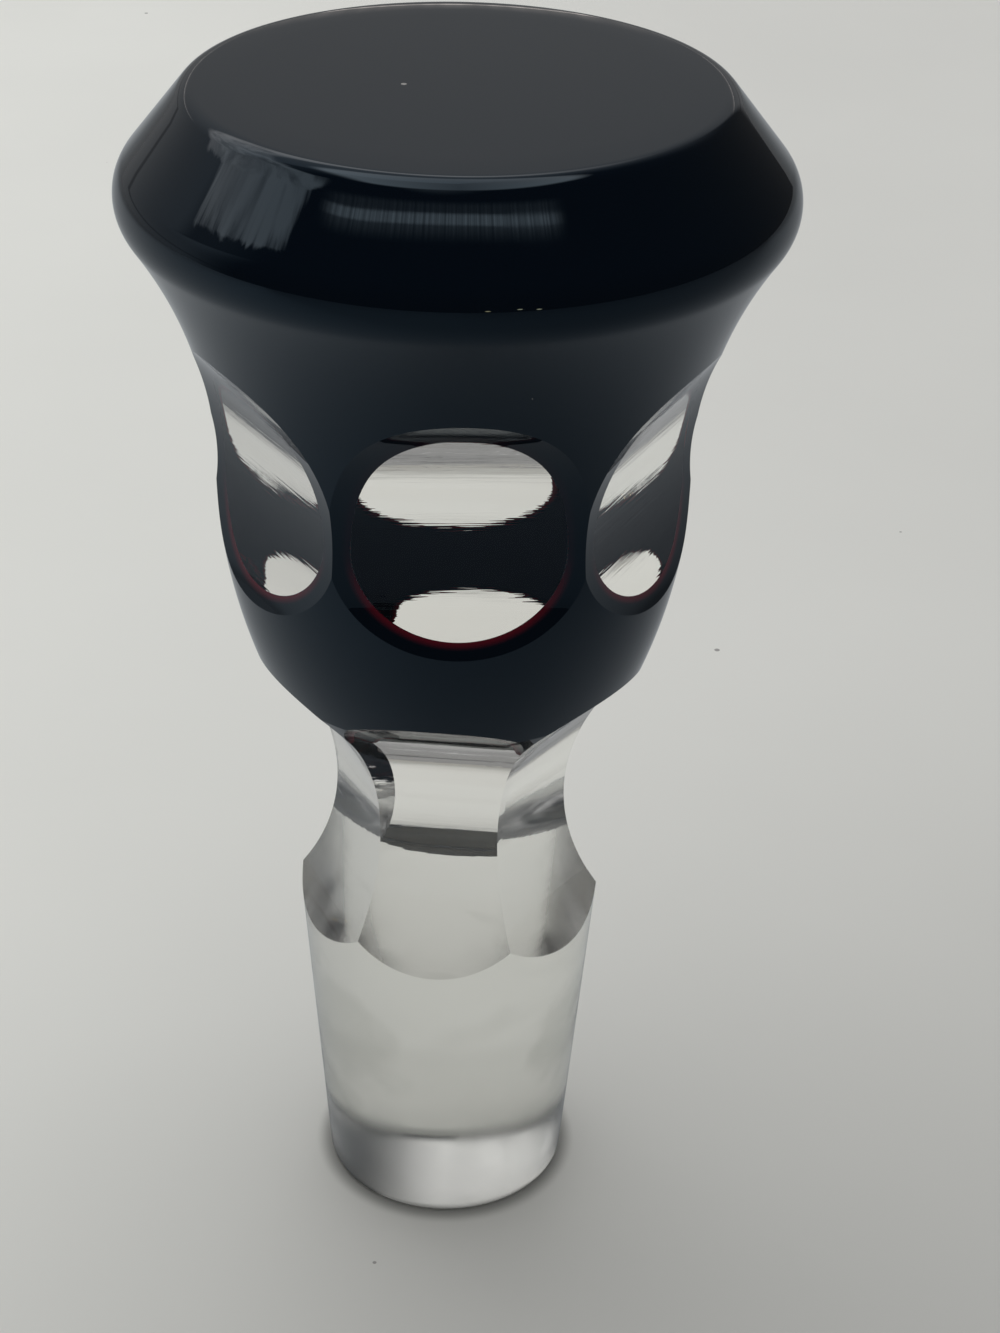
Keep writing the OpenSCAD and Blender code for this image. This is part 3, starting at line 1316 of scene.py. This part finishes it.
@dataclass(frozen=True)
class Table:
    """The pale tabletop that the stopper stands on.

    Its tones run between three colours, which paint the light: lightest at the back left, where the light
    comes from, darker to the right and darker far off. The painted shadow at the front follows y + skew x,
    and the painted contact shadow is a ring round the stopper's foot.
    """

    effects: Effects
    foot_r: float
    half_width: float = 4.0
    drop: float = 0.03 * MM
    # Painted light: the three tones make the table lightest at the back left, where the light comes from
    left: Colour = (0.80, 0.81, 0.775, 1.0)
    right: Colour = (0.67, 0.675, 0.65, 1.0)
    far: Colour = (0.50, 0.51, 0.49, 1.0)
    light_falloff_left_to_right: Edge = (-0.09, 0.09)
    near_to_far: Edge = (0.25, 0.75)
    # Painted shadow: the table's colour darkens towards the front, for the shade that falls towards the
    # camera
    front: float = 0.58
    front_edge: Edge = (-0.135, 0.065)
    front_shade_skew: float = -0.5
    cloud_scale: float = 14.0
    cloud_edge: Edge = (0.3, 0.7)
    cloud_shares: Edge = (0.985, 1.015)
    # Painted contact shadow: a darker ring in the table's colour round the stopper's foot
    contact_shadow: float = 0.5
    contact_shadow_inside: Edge = (-1.2 * MM, -0.2 * MM)
    contact_shadow_outside: float = 1.3 * MM
    mirrored: Triple = (0.575, 0.603, 0.655)
    grit: Colour = (0.33, 0.33, 0.32, 1.0)
    grit_scale: float = 170.0
    grit_size: float = 0.05
    grit_share: float = 0.07
    roughness: float = 0.6
    gloss: float = 0.2

    def build(self) -> bpy.types.Object:
        """Builds the tabletop a hair under the stopper's end, so that air lies between the two.

        Returns:
            The tabletop.
        """
        reach = self.half_width
        corners = [(-reach, -reach, -self.drop), (reach, -reach, -self.drop),
                   (reach, reach, -self.drop), (-reach, reach, -self.drop)]
        mesh = bpy.data.meshes.new("tabletop")
        mesh.from_pydata(corners, [], [(0, 1, 2, 3)])
        top = bpy.data.objects.new("tabletop", mesh)
        bpy.context.scene.collection.objects.link(top)
        mesh.materials.append(self.build_material())
        return top

    def build_material(self) -> bpy.types.Material:
        """Builds the tabletop's finish: dull and pale, with painted light brightest at the back left, painted
        shade at the front and round the foot, and a few specks.

        Returns:
            The material, darker and bluer to the rays that the stopper mirrors.
        """
        material, wiring, shader, place = start_material("pale_table_finish")
        x, y, _ = wiring.axes(place)
        # Painted light, lightest at the back left, darker to the right and darker far off
        across = wiring.mix(wiring.ramp(x, *self.light_falloff_left_to_right), self.left, self.right)
        deep = wiring.mix(wiring.ramp(y, *self.near_to_far), across, self.far)
        plain = wiring.scaled(deep, self.level(wiring, place, x, y))
        rays = wiring.node("ShaderNodeLightPath").outputs
        bounced = wiring.math("SUBTRACT", rays["Is Glossy Ray"], rays["Is Transmission Ray"], clamp=True)
        seen = wiring.mix(bounced, plain, wiring.stretched(plain, *self.mirrored))
        specks = wiring.group(self.effects.specks, Vector=place, Scale=self.grit_scale, Size=self.grit_size,
                              Share=self.grit_share)
        wiring.feed(shader.inputs["Base Color"], wiring.mix(specks, seen, self.grit))
        shader.inputs["Roughness"].default_value = self.roughness
        shader.inputs["Specular IOR Level"].default_value = self.gloss
        return material

    def level(self, wiring: Wiring, place: Socket, x: Socket, y: Socket) -> Socket:
        """Works out the painted shade on the table, beside its plain colour.

        Args:
            wiring: The material's wiring.
            place: Object coordinates.
            x: Their x.
            y: Their y.

        Returns:
            The product of the front's painted shade, a faint cloudiness and the painted contact shadow round
            the foot.
        """
        # Painted shade, darker towards the front along y + skew x
        skewed = wiring.math("MULTIPLY_ADD", x, self.front_shade_skew, y)
        shade = wiring.ramp(skewed, *self.front_edge, self.front, 1.0)
        cloud = wiring.ramp(wiring.noise(place, self.cloud_scale, 4.0), *self.cloud_edge, *self.cloud_shares)
        # Painted contact shadow: a dark ring round the foot
        away = wiring.hypot(x, y)
        start, full = (self.foot_r + gap for gap in self.contact_shadow_inside)
        inner = wiring.ramp(away, start, full)
        outer = wiring.ramp(away, self.foot_r, self.foot_r + self.contact_shadow_outside, 1.0, 0.0)
        shadow_ring = wiring.math("MULTIPLY_ADD", wiring.times(inner, outer), -self.contact_shadow, 1.0)
        return wiring.times(shade, cloud, shadow_ring)


@dataclass(frozen=True)
class Way:
    """The way that a ray leaves in, as outputs in the room's tree.

    The whole is the unit vector, with X to the right, Y to the back and Z up. Aside and back are the x and
    the y of its level part at unit length, so they give the compass direction whatever the slope.
    """

    whole: Socket
    x: Socket
    z: Socket
    aside: Socket
    back: Socket

    @classmethod
    def read(cls, wiring: Wiring) -> "Way":
        """Reads the way from the world's coordinates.

        Args:
            wiring: The world's wiring.

        Returns:
            The way.
        """
        whole = wiring.node("ShaderNodeTexCoord").outputs["Generated"]
        x, y, z = wiring.axes(whole)
        level = wiring.hypot(x, y)
        return cls(whole, x, z, wiring.math("DIVIDE", x, level), wiring.math("DIVIDE", y, level))


@dataclass(frozen=True)
class Wall:
    """Grey wall behind, which ends on the right, fades out towards the front on the left and pales upwards.

    Its right end is crisp low down and soft higher up. A darker fold lies over its upper part at the sides,
    and a thin dark seam runs along it low down.
    """

    dim: float = 0.05
    tones: Edge = (0.27, 0.48)
    tone_edge: Edge = (0.25, 0.75)
    crisp_edge: Edge = (0.54, 0.44)
    soft_edge: Edge = (0.85, 0.0)
    soft_heights: Edge = (0.35, 0.65)
    front_edge: Edge = (-0.25, 0.2)
    fold_slope: float = 0.44
    fold_edge: Edge = (0.50, 0.53)
    fold_reach: Edge = (0.40, 0.25)
    fold_share: float = 0.75
    seam_height: float = 0.085
    seam_edge: Edge = (0.006, 0.016)
    seam_share: float = 0.45

    def build(self, wiring: Wiring, way: Way) -> Socket:
        """Builds the wall's light.

        Args:
            wiring: The world's wiring.
            way: The way that the ray leaves in.

        Returns:
            The level of light, which is the dim level off the wall.
        """
        crisp, soft = wiring.ramp(way.aside, *self.crisp_edge), wiring.ramp(way.aside, *self.soft_edge)
        raised = wiring.ramp(way.z, *self.soft_heights)
        right = wiring.math("ADD", wiring.times(raised, soft),
                            wiring.times(wiring.math("SUBTRACT", 1.0, raised), crisp))
        behind = wiring.ramp(way.back, *self.front_edge)
        tone = wiring.ramp(way.z, *self.tone_edge, *self.tones)
        slope = wiring.math("MULTIPLY_ADD", way.back, self.fold_slope, way.z)
        fold = wiring.times(wiring.ramp(slope, *self.fold_edge),
                            wiring.ramp(way.back, *self.fold_reach, 0.0, self.fold_share))
        from_seam = wiring.math("ABSOLUTE", wiring.math("SUBTRACT", way.z, self.seam_height))
        seam = wiring.ramp(from_seam, *self.seam_edge, self.seam_share, 1.0)
        shade = wiring.times(wiring.math("SUBTRACT", 1.0, fold), seam)
        mask = wiring.times(right, behind, shade)
        gain = wiring.times(mask, wiring.math("SUBTRACT", tone, self.dim))
        return wiring.math("ADD", gain, self.dim)


@dataclass(frozen=True)
class Cloth:
    """Bright creased cloth on the left, with a ragged outline and dark creases.

    Its lower end slopes, and its front and back ends lean. One noise makes all of these ragged, by one share
    in height and by another along the wall, and draws the creases.
    """

    noise_scale: float = 4.0
    noise_detail: float = 6.0
    noise_roughness: float = 0.6
    noise_swirl: float = 0.8
    noise_squash: float = 2.4
    ragged_up: float = 0.11
    ragged_aside: float = 0.24
    low_slope: float = 0.40
    low_edge: Edge = (0.580, 0.598)
    top_edge: Edge = (0.78, 0.74)
    front_lean: float = 0.5
    front_height: float = 0.70
    front_edge: Edge = (-0.37, -0.29)
    back_lean: float = -2.0
    back_edge: Edge = (0.78, 0.68)
    aside_edge: Edge = (0.45, 0.05)
    crease_edge: Edge = (-0.14, 0.10)
    crease_tones: Edge = (0.50, 1.10)

    def build(self, wiring: Wiring, way: Way) -> Socket:
        """Builds the cloth's light.

        Args:
            wiring: The world's wiring.
            way: The way that the ray leaves in.

        Returns:
            The level of light, which is nothing off the cloth.
        """
        squashed = wiring.stretched(way.whole, 1.0, 1.0, self.noise_squash)
        cloud = wiring.noise(squashed, self.noise_scale, self.noise_detail, self.noise_roughness,
                             self.noise_swirl)
        noise = wiring.math("SUBTRACT", cloud, 0.5)
        lift = wiring.math("MULTIPLY_ADD", noise, self.ragged_up, way.z)
        slope = wiring.math("MULTIPLY_ADD", way.back, self.low_slope, lift)
        turn = wiring.math("MULTIPLY_ADD", noise, self.ragged_aside, way.back)
        rows = wiring.times(wiring.ramp(slope, *self.low_edge), wiring.ramp(lift, *self.top_edge))
        above = wiring.math("SUBTRACT", way.z, self.front_height)
        front = wiring.math("MULTIPLY_ADD", above, self.front_lean, turn)
        behind = wiring.math("MULTIPLY_ADD", way.z, self.back_lean, wiring.math("ADD", turn, 1.0))
        columns = wiring.times(wiring.ramp(front, *self.front_edge), wiring.ramp(behind, *self.back_edge))
        side = wiring.ramp(way.aside, *self.aside_edge)
        creases = wiring.ramp(noise, *self.crease_edge, *self.crease_tones)
        return wiring.times(rows, columns, side, creases)


@dataclass(frozen=True)
class Overhead:
    """Lights overhead, brighter to each side than in the middle, and nearly out at the far left."""

    tilt: float = -0.04
    edge: Edge = (0.865, 0.91)
    middle: float = 0.8
    gain: float = 2.2
    left_edge: Edge = (-0.50, -0.38)
    left_share: float = 0.1

    def build(self, wiring: Wiring, way: Way) -> Socket:
        """Builds the lights.

        Args:
            wiring: The world's wiring.
            way: The way that the ray leaves in.

        Returns:
            The level of light, which is nothing lower down.
        """
        high = wiring.ramp(wiring.math("MULTIPLY_ADD", way.x, self.tilt, way.z), *self.edge)
        sides = wiring.math("MULTIPLY_ADD", wiring.math("ABSOLUTE", way.x), self.gain, self.middle)
        return wiring.times(high, sides, wiring.ramp(way.x, *self.left_edge, self.left_share, 1.0))


@dataclass(frozen=True)
class Strip:
    """Long thin light over the front: the ways near one plane, between two ends.

    A way's gap from the plane is its product with the plane's normal, less the plane's reach. A fainter halo
    fades out over a gap on each side, and slats draw fine bars across the light.
    """

    normal: Triple = (0.0098, 0.371, 0.9286)
    reach: float = 0.5704
    width: float = 0.0026
    core: float = 0.4
    strength: float = 1.05
    fade_over: float = 0.03
    share_over: float = 0.16
    fade_under: float = 0.008
    share_under: float = 0.35
    slat_scale: float = 70.0
    slat_edge: Edge = (0.3, 0.7)
    slat_shares: Edge = (0.55, 1.45)
    left_end: Edge = (-0.64, -0.54)
    right_end: Edge = (0.50, 0.40)

    def build(self, wiring: Wiring, way: Way) -> Socket:
        """Builds the light.

        Args:
            wiring: The world's wiring.
            way: The way that the ray leaves in.

        Returns:
            The level of light, which is nothing off the strip.
        """
        product = wiring.on_vectors("DOT_PRODUCT", way.whole, self.normal).outputs["Value"]
        above = wiring.math("SUBTRACT", product, self.reach)
        below = wiring.times(above, -1.0)
        near = wiring.ramp(wiring.math("ABSOLUTE", above), self.width, self.core * self.width)
        halo = wiring.math("ADD", self.halo(wiring, above, self.fade_over, self.share_over),
                           self.halo(wiring, below, self.fade_under, self.share_under))
        slats = wiring.noise(wiring.stretched(way.whole, 1.0, 0.0, 0.0), self.slat_scale)
        darkest, brightest = (share * self.strength for share in self.slat_shares)
        bars = wiring.ramp(slats, *self.slat_edge, darkest, brightest)
        ends = wiring.times(wiring.ramp(way.x, *self.left_end), wiring.ramp(way.x, *self.right_end))
        return wiring.times(wiring.math("MAXIMUM", near, halo), ends, bars)

    @staticmethod
    def halo(wiring: Wiring, gap: Socket, fade: float, share: float) -> Socket:
        """Light on the side of the strip where the gap is positive, from the share down to nothing."""
        return wiring.times(wiring.math("GREATER_THAN", gap, 0.0), wiring.ramp(gap, fade, 0.0, 0.0, share))


@dataclass(frozen=True)
class Glow:
    """A small round patch of light in the room, by its direction and its radius in degrees.

    It is at full strength out to a share of its radius, and fades out over the rest.
    """

    turn: float
    lift: float
    strength: float
    colour: Triple
    radius: float = 1.1
    core: float = 0.3

    @property
    def direction(self) -> Triple:
        """Unit vector to the patch, turned from the front (-Y) towards +X."""
        turn, lift = math.radians(self.turn), math.radians(self.lift)
        return (math.sin(turn) * math.cos(lift), -math.cos(turn) * math.cos(lift), math.sin(lift))

    def build(self, wiring: Wiring, way: Way) -> Socket:
        """Builds the patch's light.

        Args:
            wiring: The world's wiring.
            way: The way that the ray leaves in.

        Returns:
            The light, as a colour.
        """
        product = wiring.on_vectors("DOT_PRODUCT", way.whole, self.direction).outputs["Value"]
        rim, core = (math.cos(math.radians(share * self.radius)) for share in (1.0, self.core))
        return wiring.scaled(self.colour, wiring.ramp(product, rim, core, 0.0, self.strength))


@dataclass(frozen=True)
class Room:
    """The pale room round the table: a grey wall behind, dark in front, and lights overhead.

    The fill is the one even level that lights the table and other dull surfaces. The lamps are seen dimmer,
    and without their cast, through the glass.
    """

    fill: float = 0.535
    lamp_colour: Triple = (1.16, 1.02, 0.93)
    lamps_through: float = 0.3
    wall: Wall = Wall()
    cloth: Cloth = Cloth()
    overhead: Overhead = Overhead()
    strip: Strip = Strip()
    glows: tuple[Glow, ...] = (
        Glow(8.0, 2.0, 8.0, (1.0, 0.66, 0.32)),
        Glow(18.0, 3.8, 9.0, (1.0, 0.72, 0.40)),
        Glow(24.0, 1.6, 9.0, (1.0, 0.72, 0.40)),
    )

    def build(self) -> None:
        """Builds the room as the scene's world, from the way that each ray leaves in."""
        world = bpy.data.worlds.new("room")
        world.use_nodes = True
        bpy.context.scene.world = world
        wiring = Wiring(world.node_tree)
        way = Way.read(wiring)
        rays = wiring.node("ShaderNodeLightPath").outputs
        through = rays["Is Transmission Ray"]
        wall = self.wall.build(wiring, way)
        lamps = self.cloth.build(wiring, way)
        for lamp in (self.overhead, self.strip):
            lamps = wiring.math("ADD", lamps, lamp.build(wiring, way))
        dimmed = wiring.math("MULTIPLY_ADD", through, self.lamps_through - 1.0, 1.0)
        lamps = wiring.times(lamps, dimmed)
        colour = wiring.node("ShaderNodeCombineColor")
        for socket, share in zip(colour.inputs, self.lamp_colour):
            cast = wiring.math("MULTIPLY_ADD", through, 1.0 - share, share)
            wiring.feed(socket, wiring.math("MULTIPLY_ADD", lamps, cast, wall))
        total = colour.outputs[0]
        for glow in self.glows:
            total = wiring.on_vectors("ADD", total, glow.build(wiring, way)).outputs["Vector"]
        soft = wiring.mix(rays["Is Diffuse Ray"], total, (self.fill, self.fill, self.fill, 1.0))
        wiring.feed(world.node_tree.nodes["Background"].inputs["Color"], soft)


@dataclass(frozen=True)
class Softbox:
    """A large soft lamp over the back, which lights the table but isn't mirrored in the glass."""

    middle: float
    place: Triple = (-0.12, 0.42, 0.95)
    size: float = 0.9
    power: float = 4.0

    def build(self) -> bpy.types.Object:
        """Builds the lamp, aimed at the stopper's middle.

        Returns:
            The lamp.
        """
        light = bpy.data.lights.new("back_softbox", "AREA")
        light.size = self.size
        light.energy = self.power
        lamp = bpy.data.objects.new("back_softbox", light)
        place = Vector(self.place)
        lamp.location = place
        lamp.rotation_euler = (Vector((0.0, 0.0, self.middle)) - place).to_track_quat("-Z", "Y").to_euler()
        lamp.visible_glossy = False
        lamp.visible_transmission = False
        bpy.context.scene.collection.objects.link(lamp)
        return lamp


@dataclass(frozen=True)
class Viewpoint:
    """Where the camera stands, given by how the stopper's middle sits in the frame.

    The middle's place in the frame and the focal length are in pixels of a frame of the given size, counted
    from its upper left corner. The angles are in degrees.
    """

    middle: float
    frame_w: float = 1000.0
    frame_h: float = 1333.0
    focal: float = 2600.0
    distance: float = 182.62 * MM
    elevation: float = 31.01
    turn: float = -1.54
    middle_x: float = 451.8
    middle_y: float = 669.9
    roll: float = 1.43
    sensor: float = 36.0
    clip_start: float = 5 * MM

    def build(self) -> bpy.types.Object:
        """Builds the camera and makes it the scene's.

        The camera is level but for its roll. Its pitch and yaw are those that put the stopper's middle at
        its place in the frame: with (a, b, c) the way to that place in the camera's own axes after the roll
        is undone, at unit length, the pitch solves b cos p - c sin p = the sight line's rise, and the yaw is
        what is left.

        Returns:
            The camera.
        """
        lift, roll = math.radians(self.elevation), math.radians(self.roll)
        sight = np.array([0.0, math.cos(lift), -math.sin(lift)])
        place = np.array([0.0, 0.0, self.middle]) - self.distance * sight
        across = (self.middle_x - self.frame_w / 2) / self.focal
        over = (self.frame_h / 2 - self.middle_y) / self.focal
        way = np.array([across * math.cos(roll) - over * math.sin(roll),
                        across * math.sin(roll) + over * math.cos(roll), 1.0])
        way /= np.linalg.norm(way)
        pitch = math.atan2(way[1], way[2]) - math.asin(sight[2] / math.hypot(way[1], way[2]))
        ahead = way[1] * math.sin(pitch) + way[2] * math.cos(pitch)
        yaw = -math.atan2(way[0], ahead)
        forward = np.array([math.sin(yaw) * math.cos(pitch), math.cos(yaw) * math.cos(pitch),
                            -math.sin(pitch)])
        right = np.array([math.cos(yaw), -math.sin(yaw), 0.0])
        up = np.cross(right, forward)
        rolled_right = math.cos(roll) * right + math.sin(roll) * up
        rolled_up = math.cos(roll) * up - math.sin(roll) * right
        axes = Matrix(np.stack([rolled_right, rolled_up, -forward], axis=1).tolist()).to_4x4()
        axes.translation = Vector(place)
        camera = bpy.data.objects.new("camera", bpy.data.cameras.new("camera"))
        camera.data.sensor_fit = "HORIZONTAL"
        camera.data.sensor_width = self.sensor
        camera.data.lens = self.sensor * self.focal / self.frame_w
        camera.data.clip_start = self.clip_start
        camera.matrix_world = Matrix.Rotation(math.radians(self.turn), 4, "Z") @ axes
        bpy.context.scene.collection.objects.link(camera)
        bpy.context.scene.camera = camera
        return camera


def main() -> None:
    """Builds the camera, the stopper's two glasses, the table and the light, in that order."""
    logging.basicConfig(level=logging.INFO, format="%(name)s: %(message)s")
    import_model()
    form = StopperForm(top_h=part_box("dark_layer")[1].z, rim_r=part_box("dark_layer")[1].x,
                       layer_top_h=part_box("clear_glass")[1].z)
    Viewpoint(middle=form.top_h / 2).build()
    effects = Effects.build()
    grid = HeadGrid(form)
    for builder, finish, node in ((ClearGlass(form, grid), ClearFinish(form, effects), "clear_glass"),
                                  (DarkLayer(form, grid), DarkFinish(form, effects), "dark_layer")):
        piece = builder.build()
        for material in finish.build():
            piece.data.materials.append(material)
        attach(piece, "root")
        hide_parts(node)
        LOG.info("%s stands for %s", piece.name, node)
    table = Table(effects, foot_r=form.plug_end_r).build()
    Room().build()
    softbox = Softbox(middle=form.top_h / 2).build()
    LOG.info("scenery: %s, room and %s", table.name, softbox.name)
    paths = bpy.context.scene.cycles
    paths.max_bounces = paths.glossy_bounces = paths.transmission_bounces = GLASS_BOUNCES
    bpy.context.scene.view_settings.view_transform = "Standard"


if __name__ == "__main__":
    main()
